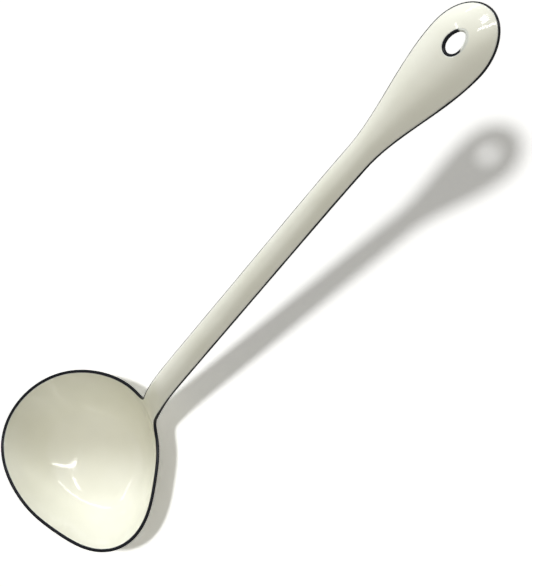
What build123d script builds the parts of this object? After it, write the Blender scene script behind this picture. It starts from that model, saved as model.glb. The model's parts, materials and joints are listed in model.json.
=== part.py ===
# A soup ladle pressed from one sheet of steel and coated with cream vitreous enamel, in millimetres.
# Frame: the origin is the middle of the small flat under the bowl, +Z is up out of the bowl's
# mouth, +X runs along the handle, and +Y is to the left of someone who holds the handle.
import os
from math import asin, atan, cos, degrees, pi, radians, sin, sqrt

from build123d import *

os.makedirs("parts", exist_ok=True)

# The sheet: a steel core between two coats of enamel, with a dark bead of enamel on its cut edge
steel_thickness = 1.0
coat_thickness = 0.25
edge_width = 0.6

# The bowl: its mouth is a circle drawn out by soft lobes, a little fuller on one side
mouth_radius = 40.25
mouth_cosine_shares = (-0.047, -0.0985, 0.038, 0.014, -0.008, -0.0025)
mouth_sine_shares = (0.0395, 0.015, 0.039, -0.0115, -0.007, 0.006)
bowl_depth = 31.0
floor_radius = 12.4
wall_curve_power = 2.4

# The handle, measured along its slope: it leaves the wall at the neck and flattens at the end
handle_length = 265.6
shaft_slope = 37.4
end_slope = 30.0
neck_bend_length = 51.0
end_bend_length = 130.0
notch_radius = 6.0

# Its section is a channel with the edges turned down, widening to a spoon-shaped end
shaft_width = 13.5
shaft_crown = 3.4
crown_length = 30.0
paddle_width = 30.8
paddle_length = 82.0
paddle_crown = 6.2
tip_length = 20.9
crown_curve_power = 2.4

# The egg-shaped hanging hole, its narrow end towards the tip
hole_width = 7.1
hole_round_length = 4.3
hole_narrow_length = 6.1
hole_setback = 18.7

# Where the wall's outlines and the handle's sections are drawn
wall_level_shares = (0, 0.02, 0.12, 0.35, 0.65, 1)
neck_station_shares = (0, 0.25, 0.6, 1, 1.8, 3, 5)
tip_station_shares = (0.3, 0.55, 0.75, 0.88, 0.96)
section_shares = (-1, -0.5, 0, 0.5, 1)
shaft_stations = 5
flare_stations = 6
mouth_points = 24
path_steps = 200
lean_share = 0.001
cut_overrun = 1.5

# Worked out from the sizes above
sheet_thickness = steel_thickness + 2 * coat_thickness
mouth_height = bowl_depth + sheet_thickness
wall_run = mouth_radius - floor_radius
wall_slope = degrees(atan(bowl_depth * wall_curve_power / wall_run))
widest_station = handle_length - tip_length
flare_station = handle_length - paddle_length
hole_station = handle_length - hole_setback
neck_blend_length = 3 * notch_radius


def eased(share):
    """Climbs smoothly from 0 to 1 as the share goes from 0 to 1."""
    share = min(max(share, 0), 1)
    return share**2 * (3 - 2 * share)


def mouth_swell(angle):
    """The share by which the mouth stands outside its mean circle in one direction."""
    pairs = enumerate(zip(mouth_cosine_shares, mouth_sine_shares), start=1)
    return sum(along * cos(lobe * angle) + across * sin(lobe * angle) for lobe, (along, across) in pairs)


def wall_outline(radius, lobe_share):
    """The bowl's outline at one level: round at the floor, lobed at the mouth."""
    outline = []
    for step in range(mouth_points):
        angle = pi + 2 * pi * step / mouth_points
        reach = radius * (1 + lobe_share * mouth_swell(angle))
        outline.append((reach * cos(angle), reach * sin(angle)))
    return outline


def bowl_body(depth_in_sheet):
    """The solid under the mouth's plane, out to one level within the sheet's thickness."""
    with BuildPart() as body:
        for level in wall_level_shares:
            climb = level ** (1 / wall_curve_power)
            radius = floor_radius + wall_run * climb
            slope = atan(bowl_depth * wall_curve_power * climb ** (wall_curve_power - 1) / wall_run)
            outwards = depth_in_sheet * sin(slope) if level < 1 else depth_in_sheet / sin(slope)
            downwards = depth_in_sheet * cos(slope) if level < 1 else 0
            height = mouth_height - bowl_depth * (1 - level) - downwards
            with BuildSketch(Plane.XY.offset(height)):
                with BuildLine():
                    Spline(wall_outline(radius + outwards, (radius / mouth_radius) ** 2), periodic=True)
                make_face()
        loft()
    return body.part


# The handle's middle line, walked in small steps from the mouth at the neck
def path_slope(station):
    neck_bend = (wall_slope - shaft_slope) * max(0, 1 - station / neck_bend_length) ** 3
    end_bend = (station - handle_length + end_bend_length) / end_bend_length
    return radians(shaft_slope + neck_bend + (end_slope - shaft_slope) * eased(end_bend))


def path_point(station):
    step = station / path_steps
    slopes = [path_slope((index + 0.5) * step) for index in range(path_steps)]
    neck_x = mouth_radius * (1 + mouth_swell(0))
    run = sum(step * cos(slope) for slope in slopes)
    climb = sum(step * sin(slope) for slope in slopes)
    return Vector(neck_x + run, 0, mouth_height + climb)


def section_slope(station):
    """The sections start level, on the mouth's plane, and turn square to the path."""
    upright = radians(90 - wall_slope) * (1 - eased(station / (2 * notch_radius)))
    return path_slope(station) + upright


def section_plane(station):
    slope = section_slope(station)
    return Plane(origin=path_point(station), x_dir=(0, 1, 0), z_dir=(cos(slope), 0, sin(slope)))


def flare_share(station):
    """How far the handle has widened: 0 on the shaft and 1 at the widest place of its end."""
    return eased((station - flare_station) / (widest_station - flare_station))


def half_width(station, inset=0):
    flare = (paddle_width - shaft_width) / 2 * flare_share(station)
    past_widest = max(0, (station - widest_station) / (tip_length - inset))
    notch = max(0, notch_radius - station)
    root = notch_radius - sqrt(notch_radius**2 - notch**2)
    return (shaft_width / 2 + flare - inset) * sqrt(1 - past_widest**2) + root


def mouth_setback(across):
    """How far the mouth's outline stands back from the neck, at a place beside the middle line."""
    angle = 0
    for _ in range(5):
        reach = mouth_radius * (1 + mouth_swell(angle))
        angle = asin(across / reach)
    return mouth_radius * (1 + mouth_swell(0)) - reach * cos(angle)


def section_height(station, share):
    """The upper face above the path: it follows the mouth at the neck, then turns into a dome."""
    shaft = shaft_crown * eased(station / crown_length)
    paddle = (paddle_crown - shaft_crown) * flare_share(station)
    past_widest = max(0, (station - widest_station) / tip_length)
    crown = (shaft + paddle) * (1 - past_widest**crown_curve_power)
    dome = crown * (1 - abs(share) ** crown_curve_power)
    mouth_share = 1 - eased(station / neck_blend_length)
    return dome + mouth_share * mouth_setback(share * half_width(station))


def section_point(station, share, depth_in_sheet):
    """A point of a section, at a share of its half width and a depth below its upper face."""
    width = half_width(station)
    rise = section_height(station, share + lean_share) - section_height(station, share - lean_share)
    lean = atan(rise / (2 * lean_share * width))
    depth = depth_in_sheet / cos(section_slope(station) - path_slope(station))
    return (width * share + depth * sin(lean), section_height(station, share) - depth * cos(lean))


stations = [notch_radius * share for share in neck_station_shares]
shaft_start = stations[-1]
shaft_step = (flare_station - shaft_start) / shaft_stations
stations += [shaft_start + step * shaft_step for step in range(1, shaft_stations + 1)]
flare_step = (widest_station - flare_station) / flare_stations
stations += [flare_station + step * flare_step for step in range(1, flare_stations + 1)]
stations += [widest_station + tip_length * share for share in tip_station_shares]


def edge_share(station):
    return 1


def bead_share(station):
    """The side of the coats, where the dark bead begins, as a share of the half width."""
    return half_width(station, edge_width) / half_width(station)


def handle_strip(right_side, left_side, top, bottom):
    """The handle between two sides, given as shares of its half width, and two depths."""
    edges = [side(0) * half_width(0) for side in (right_side, left_side)]
    with BuildPart() as strip:
        with BuildSketch(Plane.XY.offset(mouth_height)):
            with BuildLine():
                Spline(wall_outline(mouth_radius + bottom / sin(radians(wall_slope)), 1), periodic=True)
            make_face()
            with BuildLine():
                Spline(wall_outline(mouth_radius + top / sin(radians(wall_slope)), 1), periodic=True)
            make_face(mode=Mode.SUBTRACT)
            with Locations((mouth_radius, sum(edges) / 2)):
                Rectangle(mouth_radius, edges[1] - edges[0], mode=Mode.INTERSECT)
        for station in stations[1:]:
            right, left = right_side(station), left_side(station)
            shares = [right + (left - right) * (share + 1) / 2 for share in section_shares]
            with BuildSketch(section_plane(station)):
                with BuildLine():
                    upper = Spline([section_point(station, share, top) for share in shares])
                    lower = Spline([section_point(station, share, bottom) for share in shares])
                    Line(upper @ 0, lower @ 0)
                    Line(upper @ 1, lower @ 1)
                make_face()
        loft()
    return strip.part


# The bead's place round the mouth, open where the handle runs up out of the bowl
neck_opening = 2 * half_width(0, edge_width)
mouth_span = 4 * mouth_radius
with BuildPart() as mouth_bead_zone:
    with BuildSketch(Plane.XY.offset(mouth_height - edge_width)):
        Rectangle(mouth_span, mouth_span)
        with Locations((mouth_span / 2, 0)):
            Rectangle(mouth_span, neck_opening, mode=Mode.SUBTRACT)
    extrude(amount=edge_width)

with BuildPart() as mouth_ring:
    add(bowl_body(sheet_thickness))
    add(bowl_body(0), mode=Mode.SUBTRACT)
    add(mouth_bead_zone.part, mode=Mode.INTERSECT)


def hole_plug(grown):
    """The egg-shaped hanging hole as a solid, larger all round by what is given."""
    half = hole_width / 2 + grown
    with BuildPart() as plug:
        with BuildSketch(hole_plane):
            with BuildLine():
                EllipticalCenterArc((0, 0), hole_narrow_length + grown, half, start_angle=-90, arc_size=180)
                EllipticalCenterArc((0, 0), hole_round_length + grown, half, start_angle=90, arc_size=180)
            make_face()
        extrude(amount=2 * paddle_crown, both=True)
    return plug.part


# The hole goes square through the sheet, so its plane stands on the crown and not on the path
hole_slope = path_slope(hole_station)
hole_axis = Vector(-sin(hole_slope), 0, cos(hole_slope))
hole_rise = section_height(hole_station, 0) - sheet_thickness / 2
hole_centre = path_point(hole_station) + hole_axis * hole_rise
hole_plane = Plane(hole_centre, x_dir=(cos(hole_slope), 0, sin(hole_slope)), z_dir=hole_axis)
print("hanging hole: middle", hole_centre, "axis", hole_axis)

hole = hole_plug(0)
edged_hole = hole_plug(edge_width)


def sheet_layer(top, bottom):
    """One layer of the sheet, bowl and handle together, short of the beads on its edges."""
    with BuildPart() as layer:
        add(bowl_body(bottom))
        add(bowl_body(top), mode=Mode.SUBTRACT)
        add(mouth_bead_zone.part, mode=Mode.SUBTRACT)
        add(handle_strip(lambda station: -bead_share(station), bead_share, top, bottom))
        add(edged_hole, mode=Mode.SUBTRACT)
    return layer.part


steel_top = coat_thickness
steel_bottom = coat_thickness + steel_thickness

with BuildPart() as inner_enamel:
    add(sheet_layer(0, steel_top))

with BuildPart() as steel_pressing:
    add(sheet_layer(steel_top, steel_bottom))

with BuildPart() as outer_enamel:
    add(sheet_layer(steel_bottom, sheet_thickness))
    split(bisect_by=Plane.XY, keep=Keep.TOP)

# The bead runs round the mouth, up both sides of the handle and round its tip: what is left of
# the handle at its edges when the part between the beads is taken out
with BuildPart() as rim_enamel:
    add(handle_strip(lambda station: -1, edge_share, 0, sheet_thickness))
    extrude(faces().sort_by(Axis.X)[-1], amount=edge_width)
    cut_top, cut_bottom = -cut_overrun, sheet_thickness + cut_overrun
    between_beads = handle_strip(lambda station: -bead_share(station), bead_share, cut_top, cut_bottom)
    add(between_beads, mode=Mode.SUBTRACT)
    add(mouth_ring.part)

with BuildPart() as hole_enamel:
    add(handle_strip(lambda station: -1, edge_share, 0, sheet_thickness))
    add(edged_hole, mode=Mode.INTERSECT)
    add(hole, mode=Mode.SUBTRACT)

for name, piece in (
    ("inner_enamel", inner_enamel),
    ("steel_pressing", steel_pressing),
    ("outer_enamel", outer_enamel),
    ("rim_enamel", rim_enamel),
    ("hole_enamel", hole_enamel),
):
    piece.part.label = name
    export_step(piece.part, f"parts/{name}.step")
    size = piece.part.bounding_box().size
    print(name, len(piece.part.solids()), "solid", round(piece.part.volume), "mm3", size)
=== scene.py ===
# %% [markdown]
# # An enamelled soup ladle
# The ladle is one sheet of steel: the bowl, the neck and the handle are pressed from it together.
# The pressing is dipped in dark ground enamel, then in cream cover enamel, and fired after each.
# The cream is wiped off the cut edge, so a dark glassy bead runs all the way round.
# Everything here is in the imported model's own frame, in metres: +Z is up out of the bowl, and
# +X runs along the handle.

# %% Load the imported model
import json
from math import asin, atan, atan2, cos, hypot, pi, radians, sin, sqrt

import bpy
from mathutils import Matrix, Vector, noise

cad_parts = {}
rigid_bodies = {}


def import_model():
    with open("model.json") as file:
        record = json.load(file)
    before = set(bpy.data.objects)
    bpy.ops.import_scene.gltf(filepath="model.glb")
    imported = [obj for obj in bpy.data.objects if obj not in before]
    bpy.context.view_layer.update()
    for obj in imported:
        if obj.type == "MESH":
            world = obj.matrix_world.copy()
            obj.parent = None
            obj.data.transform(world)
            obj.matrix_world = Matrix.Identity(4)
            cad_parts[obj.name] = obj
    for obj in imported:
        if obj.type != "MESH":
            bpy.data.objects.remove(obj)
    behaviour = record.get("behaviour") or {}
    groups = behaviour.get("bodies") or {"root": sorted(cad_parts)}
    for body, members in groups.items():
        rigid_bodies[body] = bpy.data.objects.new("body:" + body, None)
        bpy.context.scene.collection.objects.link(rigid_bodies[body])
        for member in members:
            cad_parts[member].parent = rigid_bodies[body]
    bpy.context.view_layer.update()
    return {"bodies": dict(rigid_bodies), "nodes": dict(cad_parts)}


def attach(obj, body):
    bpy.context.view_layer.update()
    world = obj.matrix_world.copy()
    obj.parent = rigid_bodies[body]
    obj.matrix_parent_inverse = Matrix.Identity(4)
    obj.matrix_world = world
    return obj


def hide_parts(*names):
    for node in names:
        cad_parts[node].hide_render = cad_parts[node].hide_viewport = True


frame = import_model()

body = next(iter(frame["bodies"]))
print("body:", body, "nodes:", sorted(frame["nodes"]))

# %% [markdown]
# ## The form
# A pressing is a smooth sheet with no flat panels. It could be shaped by hand from a subdivided box,
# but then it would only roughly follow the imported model. So it is drawn from formulas: one for the
# bowl's wall, one for the mouth's outline and one for the handle's channelled section. They are the
# rules that a die maker would give, a few sizes each, and every point of the sheet comes from them.

# %% The driving sizes
mm = 0.001
sheet_thickness = 1.5 * mm
coat_thickness = 0.25 * mm

mouth_radius = 40.25 * mm
mouth_cosine_shares = (-0.047, -0.0985, 0.038, 0.014, -0.008, -0.0025)
mouth_sine_shares = (0.0395, 0.015, 0.039, -0.0115, -0.007, 0.006)
bowl_depth = 31 * mm
floor_radius = 12.4 * mm
wall_curve_power = 2.4

handle_length = 265.6 * mm
shaft_slope = radians(37.4)
end_slope = radians(30)
neck_bend_length = 51 * mm
end_bend_length = 130 * mm
notch_radius = 6 * mm

shaft_width = 13.5 * mm
shaft_crown = 3.4 * mm
crown_length = 30 * mm
paddle_width = 30.8 * mm
paddle_length = 82 * mm
paddle_crown = 6.2 * mm
tip_length = 20.9 * mm
crown_curve_power = 2.4

hole_width = 7.1 * mm
hole_round_length = 4.3 * mm
hole_narrow_length = 6.1 * mm
hole_setback = 18.7 * mm

wall_run = mouth_radius - floor_radius
wall_slope = atan(bowl_depth * wall_curve_power / wall_run)
mouth_height = bowl_depth + sheet_thickness
widest_station = handle_length - tip_length
flare_station = handle_length - paddle_length
print("mouth", round(2 * mouth_radius / mm, 1), "mm across before its lobes")

# %% [markdown]
# ## The bowl's formulas
# The wall climbs as a power of the way out from the flat floor, which gives the round turn at its foot
# and the steep upper part of a deep drawn bowl. A Screw modifier could spin such a profile, but the
# mouth isn't round. So each circle of the wall is drawn out by a few waves, most of all at the mouth.

# %% The bowl's wall and mouth
solving_rounds = 6


def mouth_swell(angle):
    """The share by which the mouth stands outside its mean circle in one direction."""
    pairs = enumerate(zip(mouth_cosine_shares, mouth_sine_shares), start=1)
    return sum(along * cos(lobe * angle) + across * sin(lobe * angle) for lobe, (along, across) in pairs)


def wall_point(radius, angle):
    """A point inside the bowl, on the circle that the lobes draw out to the mouth's shape."""
    climb = max(0, radius - floor_radius) / wall_run
    reach = radius * (1 + (radius / mouth_radius) ** 2 * mouth_swell(angle))
    height = sheet_thickness + bowl_depth * climb**wall_curve_power
    return Vector((reach * cos(angle), reach * sin(angle), height))


def mouth_angle(across):
    """The direction in which the mouth's outline passes a place beside the middle line."""
    angle = 0
    for _ in range(solving_rounds):
        angle = asin(across / (mouth_radius * (1 + mouth_swell(angle))))
    return angle


def mouth_setback(across):
    """How far the mouth stands back from the neck, at a place beside the middle line."""
    angle = mouth_angle(across)
    return mouth_radius * (1 + mouth_swell(0) - (1 + mouth_swell(angle)) * cos(angle))


print("mouth's swell at the neck", round(mouth_swell(0), 3), "and opposite", round(mouth_swell(pi), 3))

# %% [markdown]
# ## The handle's formulas
# The handle's section is a dome with its sides turned down, which makes so thin a sheet stiff. It is
# low on the shaft and high at the end, and at the neck it turns into the wall of the bowl. A profile
# swept along a curve can't do that last part. So each place on the handle is worked out from its
# station, the way along the slope from the mouth, and from how far it lies beside the middle line.

# %% The handle's slope and width
neck_bend_power = 3


def eased(share):
    """Climbs smoothly from 0 to 1 as the share goes from 0 to 1."""
    share = min(max(share, 0), 1)
    return share**2 * (3 - 2 * share)


def path_slope(station):
    """The slope of the middle line: steep at the wall, then even, then flatter at the end."""
    bend_left = max(0, 1 - max(0, station) / neck_bend_length)
    neck_bend = (wall_slope - shaft_slope) * bend_left**neck_bend_power
    end_bend = (station - handle_length + end_bend_length) / end_bend_length
    return shaft_slope + neck_bend + (end_slope - shaft_slope) * eased(end_bend)


def flare_share(station):
    """How far the handle has widened: 0 on the shaft and 1 at the widest place of its end."""
    return eased((station - flare_station) / (widest_station - flare_station))


def half_width(station, inset=0):
    """Half the handle's width, or of what is left of it inside a border of that width."""
    flare = (paddle_width - shaft_width) / 2 * flare_share(station)
    past_widest = min(1, max(0, (station - widest_station) / (tip_length - inset)))
    notch = min(notch_radius + inset, max(0, notch_radius - station))
    root = notch_radius + inset - sqrt((notch_radius + inset) ** 2 - notch**2)
    return (shaft_width / 2 + flare - inset) * sqrt(1 - past_widest**2) + root


print("shaft", round(2 * half_width(100 * mm) / mm, 1), "mm wide")
print("end", round(2 * half_width(widest_station) / mm, 1), "mm wide")

# %% The handle's middle line
path_step = 0.25 * mm
path_points = [Vector((mouth_radius * (1 + mouth_swell(0)), 0, mouth_height))]
for index in range(int(handle_length / path_step) + 1):
    slope = path_slope((index + 0.5) * path_step)
    path_points.append(path_points[-1] + path_step * Vector((cos(slope), 0, sin(slope))))


def path_point(station):
    """A point of the middle line, which runs straight on down the wall before its start."""
    if station < 0:
        return path_points[0] + station * Vector((cos(wall_slope), 0, sin(wall_slope)))
    index = min(int(station / path_step), len(path_points) - 2)
    return path_points[index].lerp(path_points[index + 1], station / path_step - index)


print("handle ends at", [round(c / mm, 1) for c in path_point(handle_length)], "mm")

# %% The handle's upper face
neck_blend_length = 3 * notch_radius
upright_length = 2 * notch_radius


def handle_point(station, across):
    """A point on the handle's upper face: the mouth's wall at the neck, then a dome."""
    width = half_width(min(max(station, 0), handle_length - path_step))
    share = min(1, abs(across) / width)
    shaft = shaft_crown * eased(station / crown_length)
    paddle = (paddle_crown - shaft_crown) * flare_share(station)
    past_widest = max(0, (station - widest_station) / tip_length)
    crown = (shaft + paddle) * (1 - past_widest**crown_curve_power)
    mouth_share = 1 - eased(station / neck_blend_length)
    height = crown * (1 - share**crown_curve_power) + mouth_share * mouth_setback(across)
    lean = path_slope(station) + (pi / 2 - wall_slope) * (1 - eased(station / upright_length))
    return path_point(station) + Vector((-height * sin(lean), across, height * cos(lean)))


crown_height = (handle_point(widest_station, 0) - path_point(widest_station)).length
print("the handle's end arches up", round(crown_height / mm, 1), "mm in the middle")

# %% [markdown]
# ## One skin of quads
# The bowl and the handle could be two surfaces joined by a boolean, but that leaves a ragged seam where
# the real sheet has none. So one skin of quads covers both. The bowl is a wheel of rings and spokes,
# and the spokes inside the neck are set where the handle's rows begin, so the rows are stitched on.
# The dark bead is as round as the sheet's edge, so the skin stops on the bead's middle line, half a
# sheet's thickness short of the cut edge, and the bead hides where it stops.

# %% The bowl's spokes
edge_inset = sheet_thickness / 2
handle_columns = 16
bowl_spokes = 156

points = []
faces = []


def across_the_handle(half):
    """The places of the handle's columns, from its right side to its left."""
    return [half * (2 * column / handle_columns - 1) for column in range(handle_columns + 1)]


def ring_of(coordinates):
    """Adds a row of points and gives back their numbers."""
    first = len(points)
    points.extend(coordinates)
    return list(range(first, len(points)))


def stitch(lower, upper, closed):
    """Joins two rows of as many points with quads."""
    pairs = len(lower) if closed else len(lower) - 1
    for step in range(pairs):
        after = (step + 1) % len(lower)
        faces.append((lower[step], lower[after], upper[after], upper[step]))


neck_half = half_width(-edge_inset, edge_inset)
neck_angles = [mouth_angle(across) for across in across_the_handle(neck_half)]
free_turn = 2 * pi - (neck_angles[-1] - neck_angles[0])
free_spokes = bowl_spokes - handle_columns
angles = neck_angles + [neck_angles[-1] + free_turn * step / free_spokes for step in range(1, free_spokes)]
print(len(angles), "spokes,", len(neck_angles), "of them in the neck")

# %% The bowl's rings
bowl_rings = 44
arc_steps = 400
rounding_slack = 1e-12

# The rings are evenly spaced along the wall's own arc, so the quads stay nearly square where it is steep
rim_radius = mouth_radius - edge_inset * cos(wall_slope)
arc = [0]
for step in range(arc_steps):
    near, far = (wall_point(rim_radius * (step + end) / arc_steps, pi / 2) for end in (0, 1))
    arc.append(arc[-1] + (far - near).length)
ring_radii = []
for ring in range(1, bowl_rings + 1):
    reached = arc[-1] * ring / bowl_rings - rounding_slack
    step = next(index for index, length in enumerate(arc) if length >= reached)
    ring_radii.append(rim_radius * step / arc_steps)

centre = ring_of([wall_point(0, 0)])[0]
rings = [ring_of([wall_point(radius, angle) for angle in angles]) for radius in ring_radii]
faces.extend((centre, rings[0][step], rings[0][(step + 1) % bowl_spokes]) for step in range(bowl_spokes))
for lower, upper in zip(rings, rings[1:]):
    stitch(upper, lower, closed=True)
print(len(points), "points for the bowl")

# %% The shaft's rows
row_length = 1.7 * mm
row_crowding = 1.25
end_wheel_length = 36 * mm
end_station = handle_length - end_wheel_length

row_count = round((end_station + edge_inset) / row_length)
rows = [rings[-1][: handle_columns + 1]]
for row in range(1, row_count + 1):
    # The first rows are close together, because the neck's fillets turn quickly there
    station = -edge_inset + (end_station + edge_inset) * (row / row_count) ** row_crowding
    places = across_the_handle(half_width(station, edge_inset))
    rows.append(ring_of([handle_point(station, across) for across in places]))
for lower, upper in zip(rows, rows[1:]):
    stitch(lower, upper, closed=False)
print(len(points), "points for the bowl and the shaft")

# %% [markdown]
# ## The end of the handle
# A hole cut in a finished skin leaves long thin faces round it, which shade badly in a glossy glaze.
# Here the handle's end is a second wheel, made from two loops with as many points: the hole's own egg,
# and the last row of the shaft with the rest of the outline. Each spoke runs straight between them.

# %% The hole's egg
hole_station = handle_length - hole_setback
hole_inset = 0.55 * mm


def hole_point(angle):
    """The hole's edge, kept clear by the bead's own half width."""
    along = (hole_narrow_length if cos(angle) > 0 else hole_round_length) + hole_inset
    reach = 1 / hypot(cos(angle) / along, sin(angle) / (hole_width / 2 + hole_inset))
    return (hole_station + reach * cos(angle), reach * sin(angle))


print("hole", round((hole_point(0)[0] - hole_point(pi)[0]) / mm, 1), "mm long before its bead")

# %% The outline round the end
tip_segments = 26
side_steps = 600
tip_station = handle_length - edge_inset

# The left side is walked finely and then divided evenly up to the tip
walk = []
for step in range(side_steps + 1):
    station = end_station + (tip_station - end_station) * sin(pi / 2 * step / side_steps)
    walk.append((station, half_width(station, edge_inset)))
walk[-1] = (tip_station, 0)
walked = [0]
for near, far in zip(walk, walk[1:]):
    walked.append(walked[-1] + hypot(far[0] - near[0], far[1] - near[1]))
left_side = []
for segment in range(1, tip_segments + 1):
    reached = walked[-1] * segment / tip_segments - rounding_slack
    step = next(index for index, length in enumerate(walked) if length >= reached)
    left_side.append(walk[step])

# From the row's right end, along the row, up the left side, round the tip and back
outer = [(end_station, across) for across in across_the_handle(half_width(end_station, edge_inset))]
outer += left_side
outer += [(station, -across) for station, across in reversed(left_side[:-1])]
inner = [hole_point(atan2(across, station - hole_station)) for station, across in outer]
print(len(outer), "points on each loop round the hole")

# %% The rings between the hole and the outline
end_rings = 9

loops = []
for ring in range(end_rings + 1):
    share = ring / end_rings
    spots = [
        (inside[0] + (outside[0] - inside[0]) * share, inside[1] + (outside[1] - inside[1]) * share)
        for inside, outside in zip(inner, outer)
    ]
    if ring == end_rings:
        loops.append(rows[-1] + ring_of([handle_point(*spot) for spot in spots[handle_columns + 1 :]]))
    else:
        loops.append(ring_of([handle_point(*spot) for spot in spots]))
for nearer, further in zip(loops, loops[1:]):
    stitch(nearer, further, closed=True)
print(len(points), "points and", len(faces), "faces in the whole skin")

# %% [markdown]
# ## The skin as a mesh
# The formulas meet at the neck with a faint kink, which a real press rounds off. Sculpting it away
# would have to be done again after each change of size, so the points there are relaxed in code.

# %% Make the skin
import bmesh

skin = bmesh.new()
for point in points:
    skin.verts.new(point)
skin.verts.ensure_lookup_table()
for face in faces:
    skin.faces.new([skin.verts[index] for index in face])
bmesh.ops.recalc_face_normals(skin, faces=skin.faces)
skin.faces.ensure_lookup_table()
if skin.faces[0].normal.z < 0:
    bmesh.ops.reverse_faces(skin, faces=skin.faces)
print("the sheet's edge has", sum(e.is_boundary for e in skin.edges), "edges")

# %% Relax the neck
neck_reach = 13 * mm
relax_rounds = 8
relax_factor = 0.5

neck = path_points[0]
loose = [v for v in skin.verts if not v.is_boundary and (v.co - neck).length < neck_reach]
axes = {"use_axis_x": True, "use_axis_y": True, "use_axis_z": True}
for _ in range(relax_rounds):
    bmesh.ops.smooth_vert(skin, verts=loose, factor=relax_factor, **axes)
skin.normal_update()
print("relaxed", len(loose), "points at the neck")

# %% [markdown]
# ## The sheet's slow unevenness
# A dipped and fired sheet is never quite even, and a glossy glaze shows it in every reflection. A
# displacement modifier would move the edge and the foot too. In code the sheet can wander by a sixth
# of a millimetre and stay calm at its edge, where the bead sits, and at the foot, which stands flat.

# %% The distance to the edge
from mathutils.kdtree import KDTree

rim_points = [v for v in skin.verts if v.is_boundary]
edge_tree = KDTree(len(rim_points))
for index, v in enumerate(rim_points):
    edge_tree.insert(v.co, index)
edge_tree.balance()
edge_distances = [edge_tree.find(v.co)[2] for v in skin.verts]
print("the bowl's floor lies", round(max(edge_distances) / mm), "mm from the sheet's edge")

# %% Let the sheet wander
wander_height = 0.16 * mm
wander_length = 17 * mm
fine_wave_share = 0.4
fine_wave_ratio = 2.3
fine_wave_offset = Vector((7, 3, 5))
calm_edge_width = 8 * mm

shifts = []
for v, distance in zip(skin.verts, edge_distances):
    calm_edge = eased(distance / calm_edge_width)
    calm_foot = eased(hypot(v.co.x, v.co.y) / floor_radius - 1)
    fine_wave = noise.noise(v.co / wander_length * fine_wave_ratio + fine_wave_offset)
    wave = noise.noise(v.co / wander_length) + fine_wave_share * fine_wave
    shifts.append(v.normal * wave * wander_height * calm_edge * calm_foot)
for v, shift in zip(skin.verts, shifts):
    v.co += shift
skin.normal_update()
print("the sheet wanders by up to", round(max(shift.length for shift in shifts) / mm, 2), "mm")

# %% [markdown]
# ## Helpers for materials
# Colours are picked as sRGB hex values, and Blender's sockets want linear light. One function adds a
# node, sets its values and links its inputs, so that a material reads as a list of what it does. The
# Mix node's colour sockets share their names with its number sockets, so they go by their numbers.

# %% Colour and node helpers
first_colour, second_colour, mixed_colour = 6, 7, 2


def linear(hex_colour):
    """An sRGB hex colour as the four linear numbers of a socket."""
    channels = [int(hex_colour[start : start + 2], 16) / 255 for start in (1, 3, 5)]
    return [c / 12.92 if c <= 0.04045 else ((c + 0.055) / 1.055) ** 2.4 for c in channels] + [1]


def node(tree, kind, settings=None, values=None, links=None):
    """Adds a node, sets its properties and socket values, and links outputs to its inputs."""
    made = tree.nodes.new(kind)
    for name, setting in (settings or {}).items():
        setattr(made, name, setting)
    for name, value in (values or {}).items():
        made.inputs[name].default_value = value
    for name, output in (links or {}).items():
        tree.links.new(output, made.inputs[name])
    return made


def fresh_material(name):
    """An empty material and its node tree."""
    material = bpy.data.materials.new(name)
    material.use_nodes = True
    material.node_tree.nodes.clear()
    return material, material.node_tree


print("mid grey #808080 is", round(linear("#808080")[0], 3), "in linear light")

# %% [markdown]
# ## Cream vitreous enamel
# Enamel is glass fused to steel at about 800 degrees: an opaque, slightly yellow white with a wet
# shine. Glass gives it an index of refraction near 1.5 and a roughness near a tenth. Dipping and
# firing leave a faint orange peel a few millimetres across and slow ripples of about a centimetre,
# which bend every highlight. The coat is thinner next to the wiped edge, where the dark ground under
# it cools its colour. A painted picture could hold all this, but it blurs close up, so noises do it.

# %% The cream's noises
cloud_length, ragged_length, peel_length, ripple_length = 24 * mm, 2.5 * mm, 3.2 * mm, 11 * mm

cream_enamel, cream = fresh_material("cream_vitreous_enamel")
place = node(cream, "ShaderNodeTexCoord").outputs["Object"]
cloud, fine, peel, ripple = (
    node(cream, "ShaderNodeTexNoise", None, {"Scale": 1 / length, "Detail": detail}, {"Vector": place})
    for length, detail in ((cloud_length, 3), (ragged_length, 2), (peel_length, 1), (ripple_length, 1))
)
print("noises per metre:", [round(n.inputs["Scale"].default_value) for n in (cloud, fine, peel, ripple)])

# %% The cream's thinness at the edge
# These three are in the unit of the edge_distance attribute, which is millimetres
raggedness = -0.5
thin_until = -0.1
thick_from = 0.8

distance = node(cream, "ShaderNodeAttribute", {"attribute_name": "edge_distance"})
ragged = node(
    cream,
    "ShaderNodeMath",
    {"operation": "MULTIPLY_ADD"},
    {1: raggedness},
    {0: fine.outputs["Fac"], 2: distance.outputs["Fac"]},
)
thinness = node(
    cream,
    "ShaderNodeMapRange",
    {"interpolation_type": "SMOOTHSTEP"},
    {"From Min": thin_until, "From Max": thick_from, "To Min": 1, "To Max": 0},
    {"Value": ragged.outputs[0]},
)
print("the cream has its full thickness about", round(thick_from - raggedness / 2, 1), "mm from the edge")

# %% The cream's colour
thick_cream_colours = ("#DFDDC9", "#EAE8D9")
thin_cream_colour = "#D3D4C9"

thick_cream = node(
    cream,
    "ShaderNodeMix",
    {"data_type": "RGBA"},
    {first_colour: linear(thick_cream_colours[0]), second_colour: linear(thick_cream_colours[1])},
    {"Factor": cloud.outputs["Fac"]},
)
cream_colour = node(
    cream,
    "ShaderNodeMix",
    {"data_type": "RGBA"},
    {second_colour: linear(thin_cream_colour)},
    {"Factor": thinness.outputs[0], first_colour: thick_cream.outputs[mixed_colour]},
)
print("cream from", *thick_cream_colours, "to", thin_cream_colour, "where it is thin")

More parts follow.
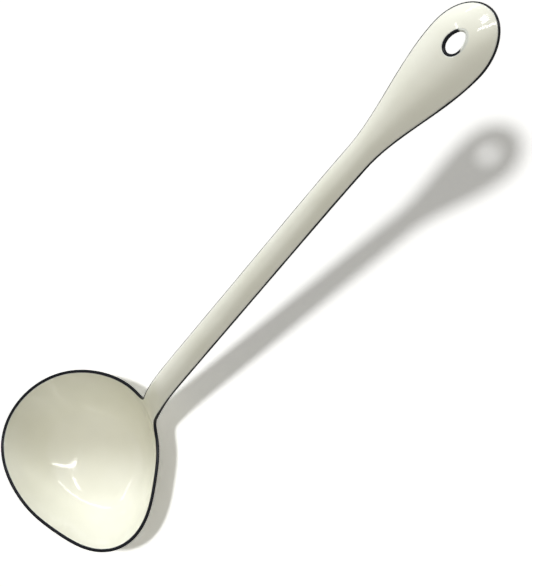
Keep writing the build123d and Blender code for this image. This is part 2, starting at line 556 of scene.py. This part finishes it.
# %% The cream's relief and gloss
peel_height = 0.012 * mm
ripple_height = 0.10 * mm
cream_roughness = 0.1
glass_ior = 1.5

peel_bump = node(
    cream,
    "ShaderNodeBump",
    values={"Strength": 1, "Distance": peel_height},
    links={"Height": peel.outputs["Fac"]},
)
bump = node(
    cream,
    "ShaderNodeBump",
    values={"Strength": 1, "Distance": ripple_height},
    links={"Height": ripple.outputs["Fac"], "Normal": peel_bump.outputs[0]},
)
shader = node(
    cream,
    "ShaderNodeBsdfPrincipled",
    values={"Roughness": cream_roughness, "IOR": glass_ior},
    links={"Base Color": cream_colour.outputs[mixed_colour], "Normal": bump.outputs[0]},
)
node(cream, "ShaderNodeOutputMaterial", links={"Surface": shader.outputs[0]})
print(cream_enamel.name, "has", len(cream.nodes), "nodes")

# %% [markdown]
# ## Blue-black ground enamel
# The ground coat holds cobalt, which lets it grip the steel and makes it nearly black with a blue
# cast. On the wiped edge it is thin and a little rougher than the cream, and shines less. Round the
# hanging hole the cream has run over it on one side. Two meshes could show that, but the line between
# them would be too clean. So one material changes colour past a plane, with a ragged border.

# %% The border of the cream that has run over
overrun_raggedness = 5 * mm
overrun_fade = 1 * mm


def run_cream_over(tree, place, grain, dark, start, onward):
    """The dark colour, with cream over it past the plane through the start that faces onward."""
    border = start.dot(onward) + overrun_raggedness / 2
    reach = node(tree, "ShaderNodeVectorMath", {"operation": "DOT_PRODUCT"}, {1: onward}, {0: place})
    ragged = node(
        tree,
        "ShaderNodeMath",
        {"operation": "MULTIPLY_ADD"},
        {1: overrun_raggedness},
        {0: grain.outputs["Fac"], 2: reach.outputs["Value"]},
    )
    covered = node(
        tree,
        "ShaderNodeMapRange",
        {"interpolation_type": "SMOOTHSTEP"},
        {"From Min": border, "From Max": border + overrun_fade},
        {"Value": ragged.outputs[0]},
    )
    return node(
        tree,
        "ShaderNodeMix",
        {"data_type": "RGBA"},
        {second_colour: linear(thin_cream_colour)},
        {"Factor": covered.outputs[0], first_colour: dark.outputs[mixed_colour]},
    )


print("the cream's border wanders by up to", round(overrun_raggedness / 2 / mm, 1), "mm either way")

# %% Blue-black ground enamel
ground_colours = ("#08090C", "#14171F")
ground_roughness = 0.2
ground_gloss = 0.12
grain_length = 4 * mm
grain_height = 0.05 * mm


def make_ground_enamel(name, overrun=None):
    """The bead's dark glass, with cream over it past a plane, given as a point and a direction."""
    material, tree = fresh_material(name)
    place = node(tree, "ShaderNodeTexCoord").outputs["Object"]
    grain = node(
        tree,
        "ShaderNodeTexNoise",
        values={"Scale": 1 / grain_length, "Detail": 3},
        links={"Vector": place},
    )
    colour = node(
        tree,
        "ShaderNodeMix",
        {"data_type": "RGBA"},
        {first_colour: linear(ground_colours[0]), second_colour: linear(ground_colours[1])},
        {"Factor": grain.outputs["Fac"]},
    )
    if overrun:
        colour = run_cream_over(tree, place, grain, colour, *overrun)
    bump = node(
        tree,
        "ShaderNodeBump",
        values={"Strength": 1, "Distance": grain_height},
        links={"Height": grain.outputs["Fac"]},
    )
    shader = node(
        tree,
        "ShaderNodeBsdfPrincipled",
        values={"Roughness": ground_roughness, "IOR": glass_ior, "Specular IOR Level": ground_gloss},
        links={"Base Color": colour.outputs[mixed_colour], "Normal": bump.outputs[0]},
    )
    node(tree, "ShaderNodeOutputMaterial", links={"Surface": shader.outputs[0]})
    return material


# The cream has run over the hole's bead on the side that is to the right in the picture
overrun_distance = 2.2 * mm
overrun_direction = Vector((0.82, -0.53, -0.21))
overrun_start = handle_point(hole_station, 0) + overrun_direction * overrun_distance
ground_enamel = make_ground_enamel("blue_black_ground_enamel")
overrun_enamel = make_ground_enamel("ground_enamel_under_cream", (overrun_start, overrun_direction))
print("made", ground_enamel.name, "and", overrun_enamel.name)

# %% [markdown]
# ## Low-carbon steel
# Enamelling steel is a soft sheet with very little carbon, pickled to a dull grey before it is coated.
# Enamel covers it all, so it could be left without a finish. But the pressing is in the model, and
# this is what a chip in the enamel would show: metal with a fine, uneven dullness.

# %% Low-carbon steel
steel_colour = "#8C8B88"
steel_grain_length = 1.5 * mm
steel_roughness = (0.35, 0.55)


def make_steel():
    material, tree = fresh_material("low_carbon_steel")
    place = node(tree, "ShaderNodeTexCoord").outputs["Object"]
    pickled = node(
        tree,
        "ShaderNodeTexNoise",
        values={"Scale": 1 / steel_grain_length, "Detail": 4},
        links={"Vector": place},
    )
    rough = node(
        tree,
        "ShaderNodeMapRange",
        values={"To Min": steel_roughness[0], "To Max": steel_roughness[1]},
        links={"Value": pickled.outputs["Fac"]},
    )
    shader = node(
        tree,
        "ShaderNodeBsdfPrincipled",
        values={"Metallic": 1, "Base Color": linear(steel_colour)},
        links={"Roughness": rough.outputs[0]},
    )
    node(tree, "ShaderNodeOutputMaterial", links={"Surface": shader.outputs[0]})
    return material


steel = make_steel()
print("made", steel.name)

# %% [markdown]
# ## The three layers
# The real sheet is steel between two coats of enamel. One thick mesh would look the same from outside,
# but three keep the build of the real thing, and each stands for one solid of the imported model. Each
# is the same skin, set down into the sheet by its depth and given its own thickness. Subdivision first
# makes the skin smooth, and Solidify then closes it.

# %% Coats and pressing
def make_layer(name, top, bottom, material, cad_node):
    """One layer of the sheet, between two depths below its upper face."""
    mesh = bpy.data.meshes.new(name)
    skin.to_mesh(mesh)
    for vertex, v in zip(mesh.vertices, skin.verts):
        vertex.co = v.co - v.normal * top
    distance = mesh.attributes.new("edge_distance", "FLOAT", "POINT")
    distance.data.foreach_set("value", [length / mm for length in edge_distances])
    mesh.shade_smooth()
    mesh.materials.append(material)
    piece = bpy.data.objects.new(name, mesh)
    bpy.context.scene.collection.objects.link(piece)
    smooth = piece.modifiers.new("smooth", "SUBSURF")
    smooth.levels = smooth.render_levels = 1
    thick = piece.modifiers.new("thickness", "SOLIDIFY")
    thick.thickness = bottom - top
    thick.offset = -1
    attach(piece, body)
    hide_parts(cad_node)
    print(name, "from", round(top / mm, 2), "to", round(bottom / mm, 2), "mm below the upper face")
    return piece


core_top = coat_thickness
core_bottom = sheet_thickness - coat_thickness
pieces = [
    make_layer("inner_coat", 0, core_top, cream_enamel, "inner_enamel"),
    make_layer("steel_core", core_top, core_bottom, steel, "steel_pressing"),
    make_layer("outer_coat", core_bottom, sheet_thickness, cream_enamel, "outer_enamel"),
]

# %% [markdown]
# ## The dark bead
# Glass pulls itself round on a cut edge. A bevel on the three layers would round each of them on its
# own, so the bead is a round curve along the middle of the edge, a little thicker than the sheet. Its
# radius changes slowly, as a wiped line does.

# %% The skin's open edges
def edge_loops():
    """The skin's open edges as ordered loops of points, the longest first."""
    waiting = {e for e in skin.edges if e.is_boundary}
    found = []
    while waiting:
        edge = min(waiting, key=lambda e: e.index)
        waiting.remove(edge)
        loop = [edge.verts[0], edge.verts[1]]
        while True:
            onward = [e for e in loop[-1].link_edges if e in waiting]
            if not onward:
                break
            waiting.remove(onward[0])
            loop.append(onward[0].other_vert(loop[-1]))
        found.append(loop[:-1])
    return sorted(found, key=len, reverse=True)


skin.edges.ensure_lookup_table()
outline_loop, hole_loop = edge_loops()
print("open edges of", len(outline_loop), "and", len(hole_loop), "points")

# %% The beads on the outline and round the hole
bead_radius = 0.80 * mm
bead_wander_share = 0.035
bead_wander_length = 9 * mm
bead_section_steps = 5
bead_length_steps = 4


def make_bead(name, loop, cad_node, material):
    """A closed round bead through the middle of the sheet's edge."""
    curve = bpy.data.curves.new(name, "CURVE")
    curve.dimensions = "3D"
    curve.bevel_depth = bead_radius
    curve.bevel_resolution = bead_section_steps
    curve.resolution_u = bead_length_steps
    spline = curve.splines.new("BEZIER")
    spline.bezier_points.add(len(loop) - 1)
    spline.use_cyclic_u = True
    for knot, v in zip(spline.bezier_points, loop):
        knot.co = v.co - v.normal * sheet_thickness / 2
        knot.handle_left_type = knot.handle_right_type = "AUTO"
        knot.radius = 1 + bead_wander_share * noise.noise(v.co / bead_wander_length)
    curve.materials.append(material)
    piece = bpy.data.objects.new(name, curve)
    bpy.context.scene.collection.objects.link(piece)
    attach(piece, body)
    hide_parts(cad_node)
    print(name, "is", round(spline.calc_length() / mm), "mm long")
    return piece


pieces.append(make_bead("edge_bead", outline_loop, "rim_enamel", ground_enamel))
pieces.append(make_bead("hole_bead", hole_loop, "hole_enamel", overrun_enamel))

# %% [markdown]
# ## The camera
# The photograph was taken from above the bowl with a long lens, turned so that the handle runs up to
# the right. A camera could be aimed by eye, but small errors add up along a thin handle. So its place,
# turn and lens come from one fit to the bowl's outline, the handle's edges, the hole and the tip.

# %% Where the camera stands
target = Vector((95, 0, 51.5)) * mm
camera_azimuth = radians(276.36)
camera_elevation = radians(70.96)
camera_roll = radians(319.24)
camera_distance = 707.4 * mm

towards_camera = Vector((
    cos(camera_azimuth) * cos(camera_elevation),
    sin(camera_azimuth) * cos(camera_elevation),
    sin(camera_elevation),
))
level = Vector((-towards_camera.y, towards_camera.x, 0)).normalized()
upright = towards_camera.cross(level)
image_right = level * cos(camera_roll) + upright * sin(camera_roll)
image_up = upright * cos(camera_roll) - level * sin(camera_roll)
print("camera at", [round(c / mm) for c in target + towards_camera * camera_distance], "mm")

# %% Camera
photo_width, photo_height = 533, 587
focal_pixels = 1523
target_pixel = (241.3, 333.4)

lens = bpy.data.cameras.new("camera")
lens.sensor_width = 36
lens.lens = focal_pixels * lens.sensor_width / photo_height
lens.shift_x = (photo_width / 2 - target_pixel[0]) / photo_height
lens.shift_y = (target_pixel[1] - photo_height / 2) / photo_height
lens.clip_start, lens.clip_end = 0.01, 20
camera = bpy.data.objects.new("camera", lens)
bpy.context.scene.collection.objects.link(camera)
turn = Matrix((image_right, image_up, towards_camera)).transposed()
camera.matrix_world = Matrix.Translation(target + towards_camera * camera_distance) @ turn.to_4x4()
bpy.context.scene.camera = camera
print("lens", round(lens.lens, 1), "mm, shift", round(lens.shift_x, 4), round(lens.shift_y, 4))

# %% [markdown]
# ## The table
# The table is white paper. Paper that is lit just enough for its shadow to look soft comes out light
# grey. More light would burn out the pale enamel, and a table that glows would have no shadow. So what
# the camera sees of the paper, straight on or in a reflection, is lifted to white by the Light Path
# node, and the shadow on it stays. The light that it throws back on the ladle is that of plain paper.

# %% Table
floor_span = 6.0
paper_colour = "#F4F4F4"
seen_lift = 1.75


def seen_share(tree):
    """1 for what the camera sees, straight on, in a reflection or through glass, and 0 for the rest."""
    path = node(tree, "ShaderNodeLightPath").outputs
    share = path["Is Camera Ray"]
    for kind in ("Is Glossy Ray", "Is Transmission Ray"):
        larger = node(tree, "ShaderNodeMath", {"operation": "MAXIMUM"}, links={0: share, 1: path[kind]})
        share = larger.outputs[0]
    return share


def make_floor():
    mesh = bpy.data.meshes.new("floor")
    half = floor_span / 2
    corners = [(-half, -half, 0), (half, -half, 0), (half, half, 0), (-half, half, 0)]
    mesh.from_pydata(corners, [], [(0, 1, 2, 3)])
    material, tree = fresh_material("white_paper")
    paper = node(tree, "ShaderNodeBsdfDiffuse", values={"Color": linear(paper_colour)})
    lifted_colour = (seen_lift, seen_lift, seen_lift, 1)
    seen_paper = node(tree, "ShaderNodeBsdfDiffuse", values={"Color": lifted_colour})
    shader = node(
        tree,
        "ShaderNodeMixShader",
        links={0: seen_share(tree), 1: paper.outputs[0], 2: seen_paper.outputs[0]},
    )
    node(tree, "ShaderNodeOutputMaterial", links={"Surface": shader.outputs[0]})
    mesh.materials.append(material)
    floor = bpy.data.objects.new("floor", mesh)
    bpy.context.scene.collection.objects.link(floor)


make_floor()
print("table", floor_span, "m across")

# %% [markdown]
# ## The lamps
# The photograph has two lights that matter. One is nearly overhead and draws the soft shadow on the
# table. The other comes low from the top of the picture, and turns the left side of the handle and
# the lower side of the bowl nearly white. A low lamp would also throw a long shadow, so Light Linking
# gives its light to the ladle alone. Both are left out of reflections, where they would show as broad
# white patches that the photograph hasn't got.

# %% Lamp helpers
def in_picture(right, up, nearer):
    """A direction given as the picture shows it."""
    return (image_right * right + image_up * up + towards_camera * nearer).normalized()


def add_lamp(name, data, towards_lamp, distance, along=None):
    """Hangs a lamp in a direction, turned to the ladle, with its long side along a line."""
    lamp = bpy.data.objects.new(name, data)
    bpy.context.scene.collection.objects.link(lamp)
    side = towards_lamp.cross(along or image_right).normalized()
    turn = Matrix((side.cross(towards_lamp), side, towards_lamp)).transposed()
    lamp.matrix_world = Matrix.Translation(target + towards_lamp * distance) @ turn.to_4x4()
    return lamp


print("lamps look at", [round(c / mm, 1) for c in target], "mm")

# %% Overhead lamp
overhead_direction = in_picture(-0.223, 0.109, 0.969)
overhead_distance = 1.5
overhead_strength = 1.1
overhead_width = radians(3.8)

overhead_data = bpy.data.lights.new("overhead", "SUN")
overhead_data.energy = overhead_strength
overhead_data.angle = overhead_width
overhead = add_lamp("overhead", overhead_data, overhead_direction, overhead_distance)
overhead.visible_glossy = False
print("overhead comes from", [round(c, 2) for c in overhead_direction])

# %% Key lamp
key_direction = in_picture(-0.22, 0.88, 0.32)
key_distance = 1.6
key_size = 0.7
key_power = 24.5
key_colour = (0.88, 0.92, 1.0)

key_data = bpy.data.lights.new("key", "AREA")
key_data.shape = "DISK"
key_data.size = key_size
key_data.energy = key_power
key_data.color = key_colour
key = add_lamp("key", key_data, key_direction, key_distance)
key.visible_glossy = False

ladle_pieces = bpy.data.collections.new("ladle_pieces")
for piece in pieces:
    ladle_pieces.objects.link(piece)
key.light_linking.receiver_collection = ladle_pieces

# %% [markdown]
# ## The lines in the glaze
# The bright lines in the bowl are reflections of long narrow lights. A curved bowl shrinks what it
# mirrors, so the lamps for them are long strips, from one direction in the picture to another. Their
# directions began as those of rays from the camera that the bowl mirrors at each highlight. White
# lines could be painted on, but they wouldn't move with the view. Strips as bright as this would light
# the whole ladle, so they show in reflections only.

# %% Strip lamps
strip_distance = 1.3

# Name, first end, other end, width in metres and radiance
strips = (
    ("near_tube", in_picture(-0.35, 0.34, 0.87), in_picture(0.78, 0.30, 0.55), 0.09, 16),
    ("far_tube", in_picture(-0.50, 0.83, 0.25), in_picture(0.70, 0.60, 0.35), 0.08, 10),
    ("side_tube", in_picture(-0.68, 0.37, 0.63), in_picture(-0.70, 0.62, 0.32), 0.05, 8),
    ("window", in_picture(-0.24, 0.54, 0.80), in_picture(-0.10, 0.60, 0.79), 0.22, 16),
)
for name, start, end, width, radiance in strips:
    strip_data = bpy.data.lights.new(name, "AREA")
    strip_data.shape = "RECTANGLE"
    middle = (start + end).normalized()
    strip_data.size = (end / end.dot(middle) - start / start.dot(middle)).length * strip_distance
    strip_data.size_y = width
    strip_data.energy = radiance * pi * strip_data.size * strip_data.size_y
    strip = add_lamp(name, strip_data, middle, strip_distance, along=end - start)
    strip.visible_diffuse = False
    print(name, round(strip_data.size, 2), "m long and", width, "m wide")

# %% [markdown]
# ## The room
# Light that comes from all sides fills the shaded right side of the handle, a little warm, as in the
# photograph. A picture of a studio could give it, but it would also show in the glaze. So the world is
# one even colour. Behind the table the camera sees plain white, by the same nodes as on the paper.

# %% World
fill_colour = (1, 0.99, 0.94, 1)
fill_strength = 0.25

world = bpy.data.worlds.new("studio")
bpy.context.scene.world = world
world.use_nodes = True
room = world.node_tree
room.nodes.clear()
fill = node(room, "ShaderNodeBackground", values={"Color": fill_colour, "Strength": fill_strength})
white = node(room, "ShaderNodeBackground", values={"Color": (1, 1, 1, 1), "Strength": 1})
shown = node(
    room,
    "ShaderNodeMixShader",
    links={0: seen_share(room), 1: fill.outputs[0], 2: white.outputs[0]},
)
node(room, "ShaderNodeOutputWorld", links={"Surface": shown.outputs[0]})
bpy.context.scene.view_settings.view_transform = "Standard"
print("world fills at", fill_strength)
